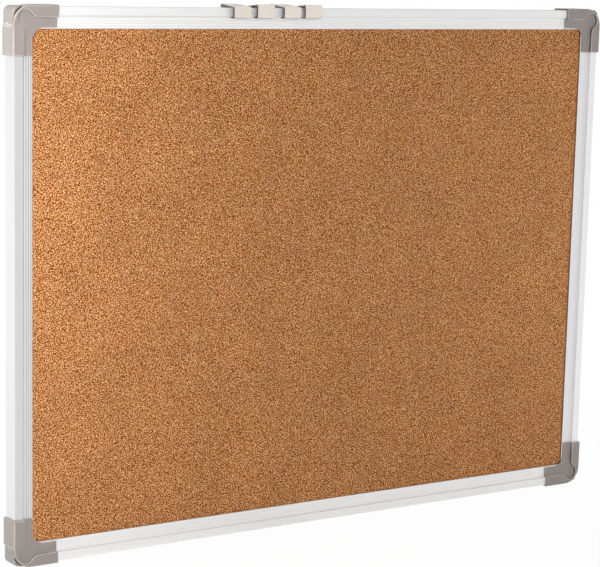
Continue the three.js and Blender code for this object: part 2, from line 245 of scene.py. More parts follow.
class RailSettings(PropertyGroup):
    """Sizes and colours of the aluminium rails."""

    edge: length("Edge radius", "Rounding of the rails' sharp edges", 0.12)
    across: tint("Across", "Anodised aluminium of the top and bottom rails", 0.84, 0.835, 0.835)
    upright: tint("Upright", "Anodised aluminium of the side rails", 0.85, 0.845, 0.855)
    across_metallic: share("Metallic across", "How metallic the skin of the top and bottom rails is", 0.45)
    upright_metallic: share("Metallic upright", "How metallic the skin of the side rails is", 0.9)
    flange_drop: length("Flange drop", "Depth of the flange behind a rail's front", 2.8)
    groove_depth: length("Groove depth", "Depth of the flange's grooves", 0.4)
    groove_least: share("Least groove", "How much of the grooves' tone is left where faintest", 0.8)
    # Painted light that pales the grooves of the top and bottom rails
    groove_light: share("Gleam", "How much brighter the grooves of the top and bottom rails are", 0.25)
    # Painted shade in the side rails' grooves, stronger on the left rail than on the right
    left_groove_shade: share("Left dirt", "How much the left rail's grooves are darkened by dirt", 0.42)
    # Painted shade on the left rail's front band
    left_band_shade: share("Left dull", "How much duller the left rail's front band is than the rest", 0.14)
    right_groove_shade: share("Right dirt", "How much the right rail's grooves are darkened by dirt", 0.05)
    streak: length("Streak", "Width of the drawing lines along a rail", 0.35)
    streak_length: length("Streak length", "Length of the drawing lines along a rail", 160)
    streak_depth: length("Streak depth", "Depth of the drawing lines along a rail", 0.012)
    streak_tone: span("Streak tone", "How much darker and how much paler drawing lines are", 0.06, 0.04)
    bloom: length("Bloom", "Size of the cloudy patches in the finish", 30)
    rubbing: span("Rubbing", "How much the least and the most rubbed edges shine", 0.1, 0.5)
    rubbed_gain: share("Rubbing gain", "How much brighter bare aluminium is than its finish", 0.08)
    roughness: span("Roughness", "Roughness of dark and of pale drawing lines", 0.56, 0.44)
    bloom_change: share("Bloom change", "How much rougher or smoother a cloudy patch is", 0.03)


class CapSettings(PropertyGroup):
    """Sizes and colours of the moulded corner caps."""

    outer_edge: length("Outer edge", "Rounding of the rim's outer edge", 1.1)
    rim_edge: length("Rim edge", "Rounding of the rim's inner and end edges", 0.6)
    ledge_edge: length("Ledge edge", "Rounding of the ledge behind the round corner", 1.2)
    ledge_drop: length("Ledge drop", "Depth of the ledge behind the rim's face", 2.6)
    edge: length("Edge radius", "Rounding of all other edges", 0.3)
    colour: tint("Colour", "Warm grey plastic", 0.275, 0.247, 0.230)
    colour_change: share("Colour change", "How much darker or paler the plastic's flow marks are", 0.04)
    flow: length("Flow", "Size of the plastic's flow marks", 11)
    # Pale rounded edges of the caps: partly rubbed wear, partly painted highlight
    worn: tint("Worn", "Rubbed edges of the plastic", 0.58, 0.54, 0.51)
    wear_and_highlight: span("Wear", "How much the least and the most rubbed edges show", 0.4, 0.9)
    outer_wear_and_highlight: share("Outer wear", "How much the rim's outer edge is rubbed", 0.35)
    ledge_wear_and_highlight: share("Ledge wear", "How much the ledge behind the round corner is rubbed", 0.1)
    # Painted shade: darkens the caps' step walls that face the board's middle and the wall under the rim's
    # round corner
    step_shade: share("Step dirt", "How much the steps' walls are darkened by dirt", 0.55)
    grain: length("Grain", "Size of the mould's fine texture", 0.35)
    grain_depth: length("Grain depth", "Depth of the mould's fine texture", 0.02)
    roughness: span("Roughness", "Roughness of smooth and of rough plastic", 0.40, 0.54)
    gloss: share("Gloss", "Strength of the plastic's mirroring", 0.45)


class ClipSettings(PropertyGroup):
    """Sizes and colours of the hanger clips."""

    edge: length("Edge radius", "Rounding of the sheet's cut edges", 0.14)
    colour: tint("Colour", "Bright nickel", 0.79, 0.72, 0.65)
    # Painted shade: darker colour on the upward faces of the sloping plate
    plate_shade: tint("Plate", "Duller plating on the clip's sloping plate", 0.60, 0.53, 0.475)
    mottle: length("Mottle", "Size of the mottles in the plating", 4)
    mottle_tone: span("Mottle tone", "How much darker and how much paler mottles are", 0.05, 0.03)
    # Painted shade: near-black colour on the faces inside the clip
    inside: tint("Inside", "Dull, thinly plated faces inside the clip", 0.05, 0.04, 0.035)
    inside_reach: length("Inside reach", "Least distance of an inner face from the clip's middle", 0.2)
    inside_rough: share("Inside roughness", "How much rougher the faces inside the clip are", 0.3)
    # Painted shade: the legs' cut edges below the rail's top are near black, while those above take bare
    # steel's colour
    cut: tint("Cut", "Dark bare steel of the legs' cut edges", 0.02, 0.016, 0.014)
    cut_above: tint("Cut above", "Bare steel of the sloping plate's cut edges", 0.33, 0.28, 0.24)
    cut_gloss: share("Cut gloss", "Strength of the bare steel's mirroring", 0.1)
    rail_top: length("Rail top", "Height of the top rail's top face above the board's middle", 223.5)
    rail_blend: length("Rail blend", "Height over which the cut edges' two colours meet", 0.5)
    scratch: length("Scratch", "Spacing of the fine rubbing marks", 0.5)
    scratch_slimness: share("Scratch slimness", "Width of a rubbing mark for its length", 0.08)
    scratch_depth: length("Scratch depth", "Depth of the fine rubbing marks", 0.01)
    roughness: span("Roughness", "Roughness of bright and of dull plating", 0.20, 0.34)


class FixingSettings(PropertyGroup):
    """Sizes and colours of the screws and the corner keys."""

    zinc: tint("Zinc", "Plated screws", 0.60, 0.60, 0.62)
    zinc_dull: tint("Dull zinc", "Dull patches in the plating", 0.42, 0.43, 0.45)
    zinc_patch: length("Zinc patch", "Size of the dull patches in the plating", 1.2)
    zinc_grain: length("Zinc grain", "Size of the plating's fine grain", 0.15)
    zinc_depth: length("Zinc depth", "Depth of the plating's fine grain", 0.01)
    zinc_roughness: span("Zinc roughness", "Roughness of dull and of bright plating", 0.46, 0.28)
    key: tint("Key", "Black plastic of the corner keys", 0.030, 0.032, 0.035)
    key_rubbed: tint("Rubbed key", "Rubbed patches of the corner keys", 0.075, 0.078, 0.082)
    key_patch: length("Key patch", "Size of the rubbed patches", 5)
    key_grain: length("Key grain", "Size of the keys' mould texture", 0.4)
    key_depth: length("Key depth", "Depth of the keys' mould texture", 0.03)
    key_roughness: span("Key roughness", "Roughness of smooth and of rough black plastic", 0.5, 0.68)


class StageSettings(PropertyGroup):
    """Camera, lamps and floor."""

    focal: FloatProperty(
        name="Focal length", description="For a 36 mm wide sensor", default=125.31, min=1.0, unit="CAMERA"
    )
    aim: place("Aim", "Point that the camera looks at", -0.01925, 0.0, -0.06489)
    distance: length("Distance", "From the aim to the camera", 1818.1)
    reach: length("Reach", "Farthest distance that the camera sees", 100000)
    azimuth: angle("Azimuth", "How far to the board's left the camera stands", 34.07)
    elevation: angle("Elevation", "How far above the aim the camera stands", 10.41)
    roll: angle("Roll", "Turn of the camera about its own axis", 1.33)
    rise: share("Rise", "Upward shift of the lens, in picture widths", 0.1)
    key_place: place("Key lamp", "Where the left soft box stands", -0.72, -0.48, 0.26)
    key_aim: place("Key aim", "Where the left soft box points", -0.42, 0.0, 0.15)
    key_power: watts("Key power", "Power of the left soft box", 0.87)
    key_width: length("Key width", "Width of the left soft box", 250)
    key_height: length("Key height", "Height of the left soft box", 600)
    key_spread: angle("Key spread", "Fan of the left soft box's light", 50)
    side_place: place("Side lamp", "Where the side soft box stands", -1.0, 0.05, 0.20)
    side_aim: place("Side aim", "Where the side soft box points", -0.30, 0.0, 0.04)
    side_power: watts("Side power", "Power of the side soft box", 1.08)
    side_width: length("Side width", "Width of the side soft box", 300)
    side_height: length("Side height", "Height of the side soft box", 300)
    side_spread: angle("Side spread", "Fan of the side soft box's light", 60)
    right_place: place("Right lamp", "Where the right soft box stands", 0.75, -0.60, -0.28)
    right_aim: place("Right aim", "Where the right soft box points", 0.30, 0.0, -0.14)
    right_power: watts("Right power", "Power of the right soft box", 0.5)
    right_width: length("Right width", "Width of the right soft box", 300)
    right_height: length("Right height", "Height of the right soft box", 600)
    right_spread: angle("Right spread", "Fan of the right soft box's light", 60)
    fill_place: place("Fill lamp", "Where the front soft box stands", -0.90, -3.00, 0.50)
    fill_aim: place("Fill aim", "Where the front soft box points", 0.0, 0.0, 0.0)
    fill_power: watts("Fill power", "Power of the front soft box", 60)
    fill_width: length("Fill width", "Width of the front soft box", 1600)
    fill_height: length("Fill height", "Height of the front soft box", 1600)
    fill_spread: angle("Fill spread", "Fan of the front soft box's light", 180)
    back_place: place("Back lamp", "Where the rear soft box stands", 1.40, 2.40, 1.00)
    back_aim: place("Back aim", "Where the rear soft box points", 0.0, 0.0, 0.0)
    back_power: watts("Back power", "Power of the rear soft box", 60)
    back_width: length("Back width", "Width of the rear soft box", 1200)
    back_height: length("Back height", "Height of the rear soft box", 1200)
    back_spread: angle("Back spread", "Fan of the rear soft box's light", 180)
    ambient: share("Ambient", "Light of the room on matt surfaces", 0.12)
    floor_size: length("Floor size", "Side of the floor", 16000)
    floor_gap: length("Floor gap", "From the board's foot down to the floor", 0.2)
    floor_white: share("Floor white", "How far the floor near the board shows plain white", 0.965)
    shadow_near: length("Shadow near", "From the board's middle to where its shadow starts to fade", 350)
    shadow_far: length("Shadow far", "From the board's middle to where its shadow is gone", 900)
    speckle: length("Speckle", "Size of the speckles in the floor's paint", 20)
    speckle_shade: span("Speckle shade", "Shades of dark and of pale speckles", 0.80, 0.84)


class BoardSettings(PropertyGroup):
    """All settings of the pin board."""

    cork: PointerProperty(type=CorkSettings, name="Cork", description="Cork sheet")
    backing: PointerProperty(type=BackingSettings, name="Backing", description="Panel behind the cork")
    rails: PointerProperty(type=RailSettings, name="Rails", description="Aluminium rails")
    caps: PointerProperty(type=CapSettings, name="Caps", description="Corner caps")
    clips: PointerProperty(type=ClipSettings, name="Clips", description="Hanger clips")
    fixings: PointerProperty(type=FixingSettings, name="Fixings", description="Screws and corner keys")
    stage: PointerProperty(type=StageSettings, name="Stage", description="Camera, lamps and floor")


# Material nodes


def feed(tree, socket, value):
    """Gives a socket a plain value or another node's output."""
    if isinstance(value, bpy.types.NodeSocket):
        tree.links.new(value, socket)
    else:
        socket.default_value = value


def add(tree, kind, sockets=None, **settings):
    """A new node with its settings made and its sockets fed."""
    made = tree.nodes.new(kind)
    for name, value in settings.items():
        setattr(made, name, value)
    for name, value in (sockets or {}).items():
        feed(tree, made.inputs[name], value)
    return made


def opaque(colour):
    """A colour with full alpha, as colour sockets take it."""
    return (colour[0], colour[1], colour[2], 1.0)


def mixed(tree, factor, first, second, blend="MIX"):
    """The colour between two others."""
    sockets = {MIX_FACTOR: factor, MIX_FIRST: first, MIX_SECOND: second}
    return add(tree, "ShaderNodeMix", sockets, data_type="RGBA", blend_type=blend).outputs[MIX_RESULT]


def ranged(tree, value, low, high, new_low, new_high):
    """A value stretched from one range to another and kept inside it."""
    sockets = {"Value": value, "From Min": low, "From Max": high, "To Min": new_low, "To Max": new_high}
    return add(tree, "ShaderNodeMapRange", sockets).outputs["Result"]


def worked(tree, operation, first, second):
    """Two values put together by one sum."""
    return add(tree, "ShaderNodeMath", {0: first, 1: second}, operation=operation).outputs[0]


def weighed(tree, part, first, second):
    """Two values added up, with this part of the first one and the rest of the second."""
    first_part = worked(tree, "MULTIPLY", first, part)
    return worked(tree, "ADD", first_part, worked(tree, "MULTIPLY", second, 1.0 - part))


def mottled(tree, colour, pattern, limits, darker, paler):
    """A colour that a noise makes darker and paler by these shares."""
    tone = ranged(tree, pattern, *limits, 1.0 - darker, 1.0 + paler)
    return mixed(tree, 1.0, colour, tone, "MULTIPLY")


def ramped(tree, value, stops):
    """A value turned into a colour by stops of (position, colour)."""
    ramp = add(tree, "ShaderNodeValToRGB", {"Fac": value})
    elements = ramp.color_ramp.elements
    for position, colour in stops[1:-1]:
        elements.new(position).color = opaque(colour)
    elements[0].position = stops[0][0]
    elements[0].color = opaque(stops[0][1])
    elements[-1].position = stops[-1][0]
    elements[-1].color = opaque(stops[-1][1])
    return ramp.outputs["Color"]


def board_coords(tree, stretch=UNSTRETCHED):
    """The board's own coordinates in metres, stretched along its axes."""
    coords = add(tree, "ShaderNodeTexCoord").outputs["Object"]
    return add(tree, "ShaderNodeMapping", {"Vector": coords, "Scale": stretch}).outputs["Vector"]


def clouds(tree, coords, size, detail=2.0, rough=0.5):
    """Soft noise whose lumps have this size in metres."""
    sockets = {"Vector": coords, "Scale": 1.0 / size, "Detail": detail, "Roughness": rough}
    return add(tree, "ShaderNodeTexNoise", sockets).outputs["Fac"]


def cells(tree, coords, size, feature="F1"):
    """Irregular flat cells of this size in metres."""
    sockets = {"Vector": coords, "Scale": 1.0 / size}
    return add(tree, "ShaderNodeTexVoronoi", sockets, voronoi_dimensions="2D", feature=feature)


def drawn_lot(tree, pattern):
    """A number from 0 to 1 that each cell of a pattern has for itself."""
    return add(tree, "ShaderNodeSeparateColor", {"Color": pattern.outputs["Color"]}).outputs["Red"]


def marked(tree, layer):
    """What a layer of the mesh says of each face."""
    return add(tree, "ShaderNodeAttribute", attribute_name=layer).outputs["Fac"]


def bumped(tree, height, depth, strength):
    """A surface normal from a height and the depth in metres that it stands for."""
    sockets = {"Height": height, "Distance": depth, "Strength": strength}
    return add(tree, "ShaderNodeBump", sockets).outputs["Normal"]


def blank_material(name):
    """A material and its node tree, which is empty."""
    material = bpy.data.materials.new(name)
    material.use_nodes = True
    material.node_tree.nodes.clear()
    return material, material.node_tree


def close_material(material, sockets):
    """Ends a material's nodes in one shader."""
    tree = material.node_tree
    shader = add(tree, "ShaderNodeBsdfPrincipled", sockets)
    add(tree, "ShaderNodeOutputMaterial", {"Surface": shader.outputs["BSDF"]})
    return material


def cork_material(cork):
    """Fine agglomerated cork: clusters of grains, odd flecks and chips, dark gaps and a pitted face."""
    material, tree = blank_material("cork_grain")
    coords = board_coords(tree)
    turn = (-math.pi / 2, 0.0, cork.grain_turn)
    face = add(tree, "ShaderNodeMapping", {"Vector": coords, "Rotation": turn}).outputs["Vector"]
    grains = cells(tree, face, cork.grain)
    own_tone = drawn_lot(tree, grains)
    sockets = {"Vector": grains.outputs["Position"], "Scale": 1.0 / cork.cluster, "Detail": 0.0}
    clusters = add(tree, "ShaderNodeTexNoise", sockets, noise_dimensions="2D").outputs["Fac"]
    cluster_tone = ranged(tree, clusters, *NOISE_ALL, 0.0, 1.0)
    tone = weighed(tree, cork.own_share, own_tone, cluster_tone)
    stops = [(0.5 - cork.tone_reach, cork.dark), (0.5, cork.middle), (0.5 + cork.tone_reach, cork.pale)]
    grain_colour = ramped(tree, tone, stops)
    odd = drawn_lot(tree, cells(tree, face, cork.fleck))
    is_bark = worked(tree, "GREATER_THAN", odd, 1.0 - cork.fleck_share)
    is_chip = worked(tree, "LESS_THAN", odd, cork.fleck_share)
    bark = worked(tree, "MULTIPLY", is_bark, cork.fleck_strength)
    chip = worked(tree, "MULTIPLY", is_chip, cork.fleck_strength)
    with_bark = mixed(tree, bark, grain_colour, opaque(cork.dark))
    with_chips = mixed(tree, chip, with_bark, opaque(cork.pale))
    from_gap = cells(tree, face, cork.grain, "DISTANCE_TO_EDGE").outputs["Distance"]
    gap_shade = ranged(tree, from_gap, 0.0, cork.gap, cork.gap_shade, 0.0)
    with_gaps = mixed(tree, gap_shade, with_chips, opaque(cork.dark))
    patch = clouds(tree, coords, cork.patch, detail=3.0)
    rounding = ranged(tree, from_gap, 0.0, cork.pit_reach, 0.0, 1.0)
    height = weighed(tree, cork.pit_share, rounding, cluster_tone)
    sockets = {
        "Base Color": mottled(tree, with_gaps, patch, NOISE_MOST, cork.patch_change, cork.patch_change),
        "Roughness": ranged(tree, own_tone, 0.0, 1.0, *cork.roughness),
        "Normal": bumped(tree, height, cork.pit_depth, strength=0.25),
        "Specular IOR Level": cork.gloss,
    }
    return close_material(material, sockets)


def fibreboard_material(backing):
    """Pressed fibreboard: short matted fibres."""
    material, tree = blank_material("pressed_fibreboard")
    mat = clouds(tree, board_coords(tree), backing.fibre_mat, detail=6.0, rough=0.7)
    upright = board_coords(tree, (1.0, 1.0, backing.fibre_slimness))
    fibre = clouds(tree, upright, backing.fibre_width, detail=3.0)
    change = ranged(tree, fibre, *NOISE_MOST, 1.0 - backing.fibre_change, 1.0 + backing.fibre_change)
    tone = worked(tree, "MULTIPLY", mat, change)
    sockets = {
        "Base Color": ramped(tree, tone, [(0.3, backing.fibre_dark), (0.62, backing.fibre)]),
        "Roughness": ranged(tree, fibre, *NOISE_ALL, *backing.fibre_roughness),
        "Normal": bumped(tree, tone, backing.fibre_depth, strength=0.6),
    }
    return close_material(material, sockets)


def paper_material(backing):
    """Backing paper: mottled, with faint fibres and a slight cockle."""
    material, tree = blank_material("backing_paper")
    coords = board_coords(tree)
    mottle = clouds(tree, coords, backing.mottle, detail=5.0, rough=0.62)
    across = board_coords(tree, (backing.paper_slimness, 1.0, 1.0))
    fibre = clouds(tree, across, backing.paper_fibre, detail=4.0)
    cockle = clouds(tree, coords, backing.cockle)
    tone = weighed(tree, backing.mottle_share, mottle, fibre)
    waves = worked(tree, "MULTIPLY", cockle, backing.cockle_depth / backing.paper_depth)
    height = worked(tree, "ADD", waves, fibre)
    sockets = {
        "Base Color": ramped(tree, tone, [(0.32, backing.paper_dark), (0.55, backing.paper)]),
        "Roughness": ranged(tree, mottle, *NOISE_MOST, *backing.paper_roughness),
        "Normal": bumped(tree, height, backing.paper_depth, strength=0.6),
    }
    return close_material(material, sockets)


def rail_material(rails, name, along, colour, metallic, groove_tone, groove_share, band_shade=0.0):
    """Satin anodised aluminium with fine drawing lines along one axis, a painted tone in the flange's
    grooves and painted shade on the raised band by the share given.
    """
    material, tree = blank_material(name)
    stretch = list(UNSTRETCHED)
    stretch[along] = rails.streak / rails.streak_length
    lines = clouds(tree, board_coords(tree, stretch), rails.streak, detail=3.0, rough=0.6)
    bloom = clouds(tree, board_coords(tree), rails.bloom, detail=3.0)
    drawn = mottled(tree, opaque(colour), lines, NOISE_BROAD, *rails.streak_tone)
    rubbing = ranged(tree, bloom, *NOISE_UPPER, *rails.rubbing)
    rubbed = worked(tree, "MULTIPLY", marked(tree, "worn"), rubbing)
    bare = [min(1.0, (1.0 + rails.rubbed_gain) * channel) for channel in colour]
    with_rubbing = mixed(tree, rubbed, drawn, opaque(bare))
    # Painted shade that darkens the raised band
    band_shading = worked(tree, "MULTIPLY", marked(tree, "band"), band_shade)
    with_band_shade = mixed(tree, band_shading, with_rubbing, opaque(BLACK))
    # Painted tone in the grooves: white is painted light, black is painted shade
    groove_shading = ranged(tree, bloom, *NOISE_CORE, rails.groove_least * groove_share, groove_share)
    in_groove = worked(tree, "MULTIPLY", marked(tree, "groove"), groove_shading)
    polish = ranged(tree, lines, *NOISE_BROAD, *rails.roughness)
    clouding = ranged(tree, bloom, *NOISE_MOST, -rails.bloom_change, rails.bloom_change)
    sockets = {
        "Base Color": mixed(tree, in_groove, with_band_shade, opaque(groove_tone)),
        "Metallic": metallic,
        "Roughness": worked(tree, "ADD", polish, clouding),
        "Normal": bumped(tree, lines, rails.streak_depth, strength=0.5),
    }
    return close_material(material, sockets)


def cap_material(caps):
    """Satin moulded plastic with a fine mould texture, pale edges of rubbed wear and painted highlight,
    and painted shade on its steps' walls.
    """
    material, tree = blank_material("moulded_grey_plastic")
    coords = board_coords(tree)
    texture = clouds(tree, coords, caps.grain, detail=3.0, rough=0.6)
    flow = clouds(tree, coords, caps.flow, detail=3.0)
    unshaded = mottled(tree, opaque(caps.colour), flow, NOISE_MOST, caps.colour_change, caps.colour_change)
    # Painted shade on the step walls marked in the mesh
    dirt = worked(tree, "MULTIPLY", marked(tree, "dirt"), caps.step_shade)
    plastic = mixed(tree, dirt, unshaded, opaque(BLACK))
    # Pale rounded edges: partly rubbed wear, partly painted highlight
    rubbing = ranged(tree, flow, *NOISE_CORE, *caps.wear_and_highlight)
    rubbed = worked(tree, "MULTIPLY", marked(tree, "worn"), rubbing)
    sockets = {
        "Base Color": mixed(tree, rubbed, plastic, opaque(caps.worn)),
        "Roughness": ranged(tree, texture, *NOISE_BROAD, *caps.roughness),
        "Normal": bumped(tree, texture, caps.grain_depth, strength=0.5),
        "Specular IOR Level": caps.gloss,
    }
    return close_material(material, sockets)


def clip_material(clips):
    """Bright nickel with fine rubbing marks, painted shade on top of the sloping plate and inside the
    clip, and bare cut edges with painted shade below the rail's top.
    """
    material, tree = blank_material("nickel_plate")
    coords = board_coords(tree)
    across = board_coords(tree, (clips.scratch_slimness, 1.0, 1.0))
    marks = clouds(tree, across, clips.scratch, detail=4.0, rough=0.65)
    mottle = clouds(tree, coords, clips.mottle, detail=4.0)
    # Faces inside the clip take a near-black colour as painted shade
    inside = marked(tree, "inside")
    bare = marked(tree, "bare")
    # Cut edges below the rail's top take painted shade
    height = add(tree, "ShaderNodeSeparateXYZ", {0: coords}).outputs["Z"]
    above = ranged(tree, height, clips.rail_top, clips.rail_top + clips.rail_blend, 0.0, 1.0)
    steel_and_shade = mixed(tree, above, opaque(clips.cut), opaque(clips.cut_above))
    # Upward faces of the sloping plate take painted shade
    plating_and_shade = mixed(tree, marked(tree, "on_top"), opaque(clips.colour), opaque(clips.plate_shade))
    outside = mottled(tree, plating_and_shade, mottle, NOISE_MOST, *clips.mottle_tone)
    plated = mixed(tree, inside, outside, opaque(clips.inside))
    polish = ranged(tree, marks, *NOISE_MOST, *clips.roughness)
    sockets = {
        "Base Color": mixed(tree, bare, plated, steel_and_shade),
        "Metallic": worked(tree, "SUBTRACT", 1.0, bare),
        "Specular IOR Level": clips.cut_gloss,
        "Roughness": worked(tree, "ADD", polish, worked(tree, "MULTIPLY", inside, clips.inside_rough)),
        "Normal": bumped(tree, marks, clips.scratch_depth, strength=0.4),
    }
    return close_material(material, sockets)


def screw_material(fixings):
    """Zinc plate with dull patches."""
    material, tree = blank_material("zinc_plate")
    coords = board_coords(tree)
    patch = clouds(tree, coords, fixings.zinc_patch, detail=4.0)
    grain = clouds(tree, coords, fixings.zinc_grain)
    sockets = {
        "Base Color": ramped(tree, patch, [(0.35, fixings.zinc_dull), (0.6, fixings.zinc)]),
        "Metallic": 1.0,
        "Roughness": ranged(tree, patch, *NOISE_MOST, *fixings.zinc_roughness),
        "Normal": bumped(tree, grain, fixings.zinc_depth, strength=0.5),
    }
    return close_material(material, sockets)


def key_material(fixings):
    """Black moulded plastic, rubbed in patches."""
    material, tree = blank_material("moulded_black_plastic")
    coords = board_coords(tree)
    patch = clouds(tree, coords, fixings.key_patch, detail=4.0)
    texture = clouds(tree, coords, fixings.key_grain)
    sockets = {
        "Base Color": ramped(tree, patch, [(0.45, fixings.key), (0.75, fixings.key_rubbed)]),
        "Roughness": ranged(tree, texture, *NOISE_MOST, *fixings.key_roughness),
        "Normal": bumped(tree, texture, fixings.key_depth, strength=0.5),
    }
    return close_material(material, sockets)


# Pieces


def merged_copy(node):
    """A copy of a solid with its triangles joined into whole faces, and a layer that marks rounded edges
    for rubbed wear and, on the caps, painted highlight.
    """
    bm = bmesh.new()
    bm.from_mesh(frame["nodes"][node].data)
    bmesh.ops.remove_doubles(bm, verts=bm.verts, dist=WELD)
    bmesh.ops.dissolve_limit(bm, angle_limit=FLAT_ANGLE, verts=bm.verts, edges=bm.edges)
    bm.faces.layers.float.new("worn")
    return bm


def sharp_edges(bm, room=0.0):
    """The edges where two faces meet at a clear angle and each is at least this wide."""
    return [
        edge
        for edge in bm.edges
        if edge.is_manifold
        and edge.calc_face_angle() > SHARP_ANGLE
        and all(face.calc_area() >= room * edge.calc_length() for face in edge.link_faces)
    ]


def round_over(bm, edges, radius, segments, wear_and_highlight=1.0):
    """Rounds edges and marks how much rubbed wear, and on the caps painted highlight, the new faces take.
    """
    made = bmesh.ops.bevel(
        bm,
        geom=edges,
        offset=radius,
        offset_type="OFFSET",
        affect="EDGES",
        segments=segments,
        profile=0.5,
        clamp_overlap=False,
        material=-1,
    )
    worn = bm.faces.layers.float["worn"]
    for face in made["faces"]:
        face[worn] = wear_and_highlight


def shown_piece(bm, name, node, material):
    """Makes an object of a finished mesh that stands for a solid and moves with its body."""
    mesh = bpy.data.meshes.new(name)
    bm.to_mesh(mesh)
    bm.free()
    mesh.shade_smooth()
    mesh.set_sharp_from_angle(angle=CREASE_ANGLE)
    mesh.materials.append(material)
    piece = bpy.data.objects.new(name, mesh)
    bpy.context.scene.collection.objects.link(piece)
    shading = piece.modifiers.new("Even shading", "WEIGHTED_NORMAL")
    shading.keep_sharp = True
    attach(piece, BODY_OF[node])
    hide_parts(node)


def dress(node, material):
    """Gives a solid that stays in view its finish."""
    frame["nodes"][node].material_slots[0].material = material


class PINBOARD_OT_cork(Operator):
    """Makes the cork sheet with its pitted face"""

    bl_idname = "pin_board.make_cork"
    bl_label = "Cork sheet"

    def execute(self, context):
        cork = context.scene.pin_board.cork
        low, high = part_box("cork_sheet")
        size = high - low
        middle = (low + high) / 2
        bm = bmesh.new()
        bmesh.ops.create_grid(
            bm,
            x_segments=round(size.x / cork.mesh_step),
            y_segments=round(size.z / cork.mesh_step),
            size=0.5,
            matrix=Matrix.Rotation(math.pi / 2, 4, "X"),
        )
        bmesh.ops.scale(bm, vec=(size.x, 1.0, size.z), verts=bm.verts)
        bmesh.ops.translate(bm, vec=(middle.x, low.y, middle.z), verts=bm.verts)
        for vert in bm.verts:
            pit = noise.noise(vert.co / cork.lump) * 0.5 + 0.5
            from_edge = min(vert.co.x - low.x, high.x - vert.co.x, vert.co.z - low.z, high.z - vert.co.z)
            sunk = progress(from_edge, cork.pressed_start, cork.pressed_end)
            vert.co.y += cork.relief * pit + cork.pressed * sunk
        self.close_behind(bm, high.y)
        shown_piece(bm, "cork_sheet_grained", "cork_sheet", cork_material(cork))
        return {"FINISHED"}

    @staticmethod
    def close_behind(bm, depth):
        """Gives a face sides that reach back to this depth, and a flat back."""
        rim = [edge for edge in bm.edges if edge.is_boundary]
        sides = bmesh.ops.extrude_edge_only(bm, edges=rim)["geom"]
        for part in sides:
            if isinstance(part, bmesh.types.BMVert):
                part.co.y = depth
        back = [part for part in sides if isinstance(part, bmesh.types.BMEdge) and part.is_boundary]
        bmesh.ops.edgeloop_fill(bm, edges=back)
        bmesh.ops.recalc_face_normals(bm, faces=bm.faces)


class PINBOARD_OT_backing(Operator):
    """Finishes the fibreboard and the paper behind the cork"""

    bl_idname = "pin_board.make_backing"
    bl_label = "Backing"

    def execute(self, context):
        backing = context.scene.pin_board.backing
        dress("fibreboard_core", fibreboard_material(backing))
        dress("back_liner", paper_material(backing))
        return {"FINISHED"}


class PINBOARD_OT_rails(Operator):
    """Makes the four rails with softened edges"""

    bl_idname = "pin_board.make_rails"
    bl_label = "Rails"

    def execute(self, context):
        rails = context.scene.pin_board.rails
        finishes = self.finishes(rails)
        for node in nodes_called("rail_"):
            low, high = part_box(node)
            bm = merged_copy(node)
            self.mark_front(bm, low.y + rails.flange_drop, rails)
            round_over(bm, sharp_edges(bm), rails.edge, segments=2)
            shown_piece(bm, node + "_drawn", node, finishes[self.place_of(low, high)])
        return {"FINISHED"}

    @staticmethod
    def finishes(rails):
        """The aluminium of the rails that lie across, of the left rail and of the right one."""
        # The last entry is the colour painted into the grooves: white as painted light on the top and
        # bottom rails, black as painted shade on the side rails
        across = (ALONG_X, rails.across, rails.across_metallic, WHITE)
        upright = (ALONG_Z, rails.upright, rails.upright_metallic, BLACK)
        return {
            "across": rail_material(rails, "satin_aluminium_across", *across, rails.groove_light),
            "left": rail_material(
                rails, "satin_aluminium_left", *upright, rails.left_groove_shade, band_shade=rails.left_band_shade
            ),
            "right": rail_material(rails, "satin_aluminium_right", *upright, rails.right_groove_shade),
        }

    @staticmethod
    def mark_front(bm, flange, rails):
        """Marks the faces of the raised band and of the grooves in a flange at this depth."""
        groove = bm.faces.layers.float.new("groove")
        band = bm.faces.layers.float.new("band")
        mouth, floor = (part * rails.groove_depth for part in GROOVE_FACES)
        for face in bm.faces:
            depth = face.calc_center_median().y - flange
            face[groove] = float(mouth < depth < floor)
            face[band] = float(depth < -BAND_FACES * rails.flange_drop)

    @staticmethod
    def place_of(low, high):
        """Which finish a rail of this box takes."""
        if high.x - low.x > high.z - low.z:
            return "across"
        return "left" if high.x < 0 else "right"


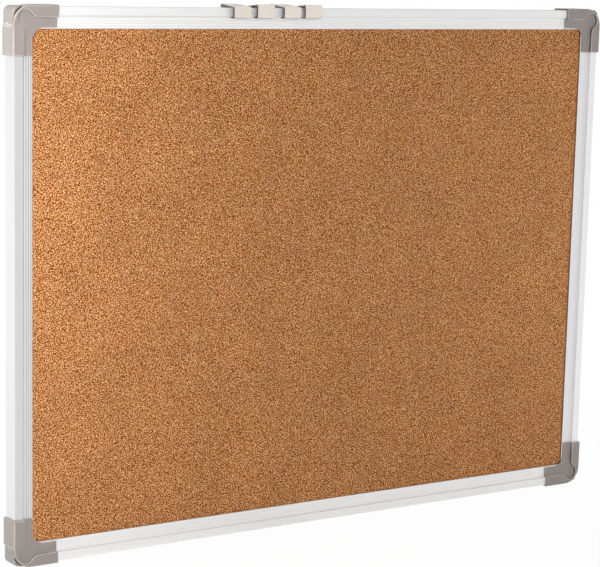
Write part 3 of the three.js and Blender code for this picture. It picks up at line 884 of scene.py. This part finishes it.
class PINBOARD_OT_caps(Operator):
    """Makes the four corner caps with their rounded rims"""

    bl_idname = "pin_board.make_caps"
    bl_label = "Corner caps"

    def execute(self, context):
        caps = context.scene.pin_board.caps
        plastic = cap_material(caps)
        for node in nodes_called("corner_cap_"):
            low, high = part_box(node)
            middle = (low + high) / 2
            outward = Vector((math.copysign(1, middle.x), 0, math.copysign(1, middle.z)))
            bm = merged_copy(node)
            # Walls that face along the rail towards the board's middle take painted shade
            dirt = bm.faces.layers.float.new("dirt")
            for face in bm.faces:
                face[dirt] = progress(-face.normal.x * outward.x, SHADE_START, SHADE_FULL)
            outer = self.front_edges(bm, low.y, outward, True)
            round_over(bm, outer, caps.outer_edge, segments=6, wear_and_highlight=caps.outer_wear_and_highlight)
            ledge = self.front_edges(bm, low.y + caps.ledge_drop, outward, True)
            round_over(bm, ledge, caps.ledge_edge, segments=5, wear_and_highlight=caps.ledge_wear_and_highlight)
            # The wall from the rim's round corner down to the ledge takes full painted shade, for the
            # shadow at its foot
            for face in self.corner_wall(bm, low.y, caps.ledge_drop, outward):
                face[dirt] = 1.0
            rim = self.front_edges(bm, low.y, outward, False)
            round_over(bm, rim, caps.rim_edge, segments=4)
            round_over(bm, sharp_edges(bm, caps.edge), caps.edge, segments=2)
            shown_piece(bm, node + "_moulded", node, plastic)
        return {"FINISHED"}

    @staticmethod
    def front_edges(bm, depth, outward, outer):
        """The sharp edges of a front face at this depth whose walls face the board's outside, or don't."""
        found = []
        for edge in sharp_edges(bm):
            if any(abs(vert.co.y - depth) > SAME_PLACE for vert in edge.verts):
                continue
            walls = [face for face in edge.link_faces if abs(face.normal.y) < FACING]
            fronts = [face for face in edge.link_faces if face.normal.y < -FACING]
            if edge.is_convex and len(walls) == 1 and fronts:
                if (walls[0].normal.dot(outward) > FACING) == outer:
                    found.append(edge)
        return found

    @staticmethod
    def corner_wall(bm, front, drop, outward):
        """The faces of the wall that runs from the rim's rounded corner down to the ledge."""
        found = []
        for face in bm.faces:
            depth = face.calc_center_median().y - front
            if drop / 2 < depth < drop and face.normal.dot(outward) > ROUND_CORNER:
                found.append(face)
        return found


class PINBOARD_OT_fixings(Operator):
    """Finishes the corner keys and the cap screws"""

    bl_idname = "pin_board.make_fixings"
    bl_label = "Keys and screws"

    def execute(self, context):
        fixings = context.scene.pin_board.fixings
        zinc = screw_material(fixings)
        black = key_material(fixings)
        for node in nodes_called("cap_screw_"):
            dress(node, zinc)
        for node in nodes_called("corner_key_"):
            dress(node, black)
        return {"FINISHED"}


class PINBOARD_OT_clips(Operator):
    """Makes the hanger clips with softened sheet edges"""

    bl_idname = "pin_board.make_clips"
    bl_label = "Hanger clips"

    def execute(self, context):
        clips = context.scene.pin_board.clips
        nickel = clip_material(clips)
        for node in nodes_called("hanger_clip_"):
            low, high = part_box(node)
            bm = merged_copy(node)
            round_over(bm, sharp_edges(bm), clips.edge, segments=3)
            self.mark_faces(bm, (low + high) / 2, clips.inside_reach)
            shown_piece(bm, node + "_plated", node, nickel)
        return {"FINISHED"}

    @staticmethod
    def mark_faces(bm, middle, inside_reach):
        """Marks the faces inside a clip, those on its sloping plate and its cut edges."""
        inside = bm.faces.layers.float.new("inside")
        on_top = bm.faces.layers.float.new("on_top")
        bare = bm.faces.layers.float.new("bare")
        for face in bm.faces:
            reach = face.calc_center_median() - middle
            turned_out = face.normal.y * reach.y + face.normal.z * reach.z
            # Inner faces that look back at the rail take painted shade
            face[inside] = float(turned_out < -inside_reach and face.normal.y > FACING)
            # Upward faces of the sloping plate, which take painted shade
            face[on_top] = float(turned_out > 0.0 and face.normal.z > SQUARELY)
            face[bare] = float(abs(face.normal.x) > SQUARELY)


class PINBOARD_OT_stage(Operator):
    """Sets the camera, the lamps, the room light and the floor"""

    bl_idname = "pin_board.make_stage"
    bl_label = "Stage"

    def execute(self, context):
        stage = context.scene.pin_board.stage
        context.scene.view_settings.view_transform = "Standard"
        self.set_camera(context.scene, stage)
        for name in LAMPS:
            self.add_lamp(context.scene, stage, name)
        self.light_room(context.scene, stage)
        self.lay_floor(context.scene, stage)
        return {"FINISHED"}

    @staticmethod
    def set_camera(scene, stage):
        """Stands the camera to the left of the board, a little above it."""
        data = bpy.data.cameras.new("board_camera")
        data.lens = stage.focal
        data.shift_y = stage.rise
        data.clip_end = stage.reach
        camera = bpy.data.objects.new("board_camera", data)
        scene.collection.objects.link(camera)
        level = math.cos(stage.elevation)
        leftward = math.sin(stage.azimuth) * level
        forward = math.cos(stage.azimuth) * level
        back = Vector((-leftward, -forward, math.sin(stage.elevation)))
        camera.location = Vector(stage.aim) + back * stage.distance
        facing = (-back).to_track_quat("-Z", "Y")
        camera.rotation_mode = "QUATERNION"
        camera.rotation_quaternion = facing @ Quaternion((0, 0, 1), stage.roll)
        scene.camera = camera

    @staticmethod
    def add_lamp(scene, stage, name):
        """A soft box that points at a place on the board and isn't mirrored in it."""
        spot = Vector(getattr(stage, name + "_place"))
        aim = Vector(getattr(stage, name + "_aim"))
        data = bpy.data.lights.new(name + "_lamp", "AREA")
        data.shape = "RECTANGLE"
        data.energy = getattr(stage, name + "_power")
        data.size = getattr(stage, name + "_width")
        data.size_y = getattr(stage, name + "_height")
        data.spread = getattr(stage, name + "_spread")
        lamp = bpy.data.objects.new(name + "_lamp", data)
        scene.collection.objects.link(lamp)
        lamp.location = spot
        lamp.rotation_mode = "QUATERNION"
        lamp.rotation_quaternion = (aim - spot).to_track_quat("-Z", "Y")
        lamp.visible_camera = False
        lamp.visible_glossy = False

    @staticmethod
    def seen_directly(tree):
        """1 for rays from the camera, mirrors and glass, which see plain white, and 0 for the rest."""
        path = add(tree, "ShaderNodeLightPath").outputs
        mirrored = worked(tree, "MAXIMUM", path["Is Glossy Ray"], path["Is Transmission Ray"])
        return worked(tree, "MAXIMUM", path["Is Camera Ray"], mirrored)

    def light_room(self, scene, stage):
        """A white room that lights matt surfaces evenly."""
        world = bpy.data.worlds.new("white_room")
        world.use_nodes = True
        tree = world.node_tree
        tree.nodes.clear()
        white = opaque(WHITE)
        lighting = add(tree, "ShaderNodeBackground", {"Color": white, "Strength": stage.ambient})
        backdrop = add(tree, "ShaderNodeBackground", {"Color": white, "Strength": 1.0})
        sockets = {0: self.seen_directly(tree), 1: lighting.outputs[0], 2: backdrop.outputs[0]}
        room = add(tree, "ShaderNodeMixShader", sockets)
        add(tree, "ShaderNodeOutputWorld", {"Surface": room.outputs[0]})
        scene.world = world

    def lay_floor(self, scene, stage):
        """A pale floor under the board that shows white and keeps a soft shadow near it."""
        bm = bmesh.new()
        bmesh.ops.create_grid(bm, x_segments=1, y_segments=1, size=stage.floor_size / 2)
        bmesh.ops.translate(bm, vec=(0.0, 0.0, CAD_BOX[0].z - stage.floor_gap), verts=bm.verts)
        mesh = bpy.data.meshes.new("floor")
        bm.to_mesh(mesh)
        bm.free()
        mesh.materials.append(self.floor_material(stage))
        floor = bpy.data.objects.new("floor", mesh)
        scene.collection.objects.link(floor)

    def floor_material(self, stage):
        """Matt white paint that shows as plain white, but for the board's shadow close to it."""
        material, tree = blank_material("pale_floor")
        coords = board_coords(tree)
        away = add(tree, "ShaderNodeVectorMath", {0: coords}, operation="LENGTH").outputs["Value"]
        whiteness = ranged(tree, away, stage.shadow_near, stage.shadow_far, stage.floor_white, 1.0)
        grain = clouds(tree, coords, stage.speckle)
        speckle = ranged(tree, grain, *NOISE_MOST, *stage.speckle_shade)
        paint = add(tree, "ShaderNodeBsdfDiffuse", {"Color": speckle})
        white = add(tree, "ShaderNodeEmission", {"Color": opaque(WHITE), "Strength": 1.0})
        factor = worked(tree, "MULTIPLY", self.seen_directly(tree), whiteness)
        sockets = {0: factor, 1: paint.outputs[0], 2: white.outputs[0]}
        surface = add(tree, "ShaderNodeMixShader", sockets)
        add(tree, "ShaderNodeOutputMaterial", {"Surface": surface.outputs[0]})
        return material


class PINBOARD_PT_sidebar(Panel):
    """Lists the steps that finish the board."""

    bl_idname = "PINBOARD_PT_sidebar"
    bl_label = "Pin Board"
    bl_space_type = "VIEW_3D"
    bl_region_type = "UI"
    bl_category = "Pin Board"

    def draw(self, context):
        for step in STEPS:
            self.layout.operator(step.bl_idname)


STEPS = (
    PINBOARD_OT_stage,
    PINBOARD_OT_cork,
    PINBOARD_OT_backing,
    PINBOARD_OT_rails,
    PINBOARD_OT_caps,
    PINBOARD_OT_fixings,
    PINBOARD_OT_clips,
)
CLASSES = (
    CorkSettings,
    BackingSettings,
    RailSettings,
    CapSettings,
    ClipSettings,
    FixingSettings,
    StageSettings,
    BoardSettings,
    *STEPS,
    PINBOARD_PT_sidebar,
)


def register():
    """Makes the settings, the steps and the panel known to Blender."""
    for kind in CLASSES:
        bpy.utils.register_class(kind)
    bpy.types.Scene.pin_board = PointerProperty(
        type=BoardSettings, name="Pin board", description="Settings of the pin board"
    )


def unregister():
    """Takes back what register made known."""
    del bpy.types.Scene.pin_board
    for kind in reversed(CLASSES):
        bpy.utils.unregister_class(kind)


def main():
    """Takes every step in order."""
    register()
    bpy.ops.pin_board.make_stage()
    bpy.ops.pin_board.make_cork()
    bpy.ops.pin_board.make_backing()
    bpy.ops.pin_board.make_rails()
    bpy.ops.pin_board.make_caps()
    bpy.ops.pin_board.make_fixings()
    bpy.ops.pin_board.make_clips()


if __name__ == "__main__":
    main()
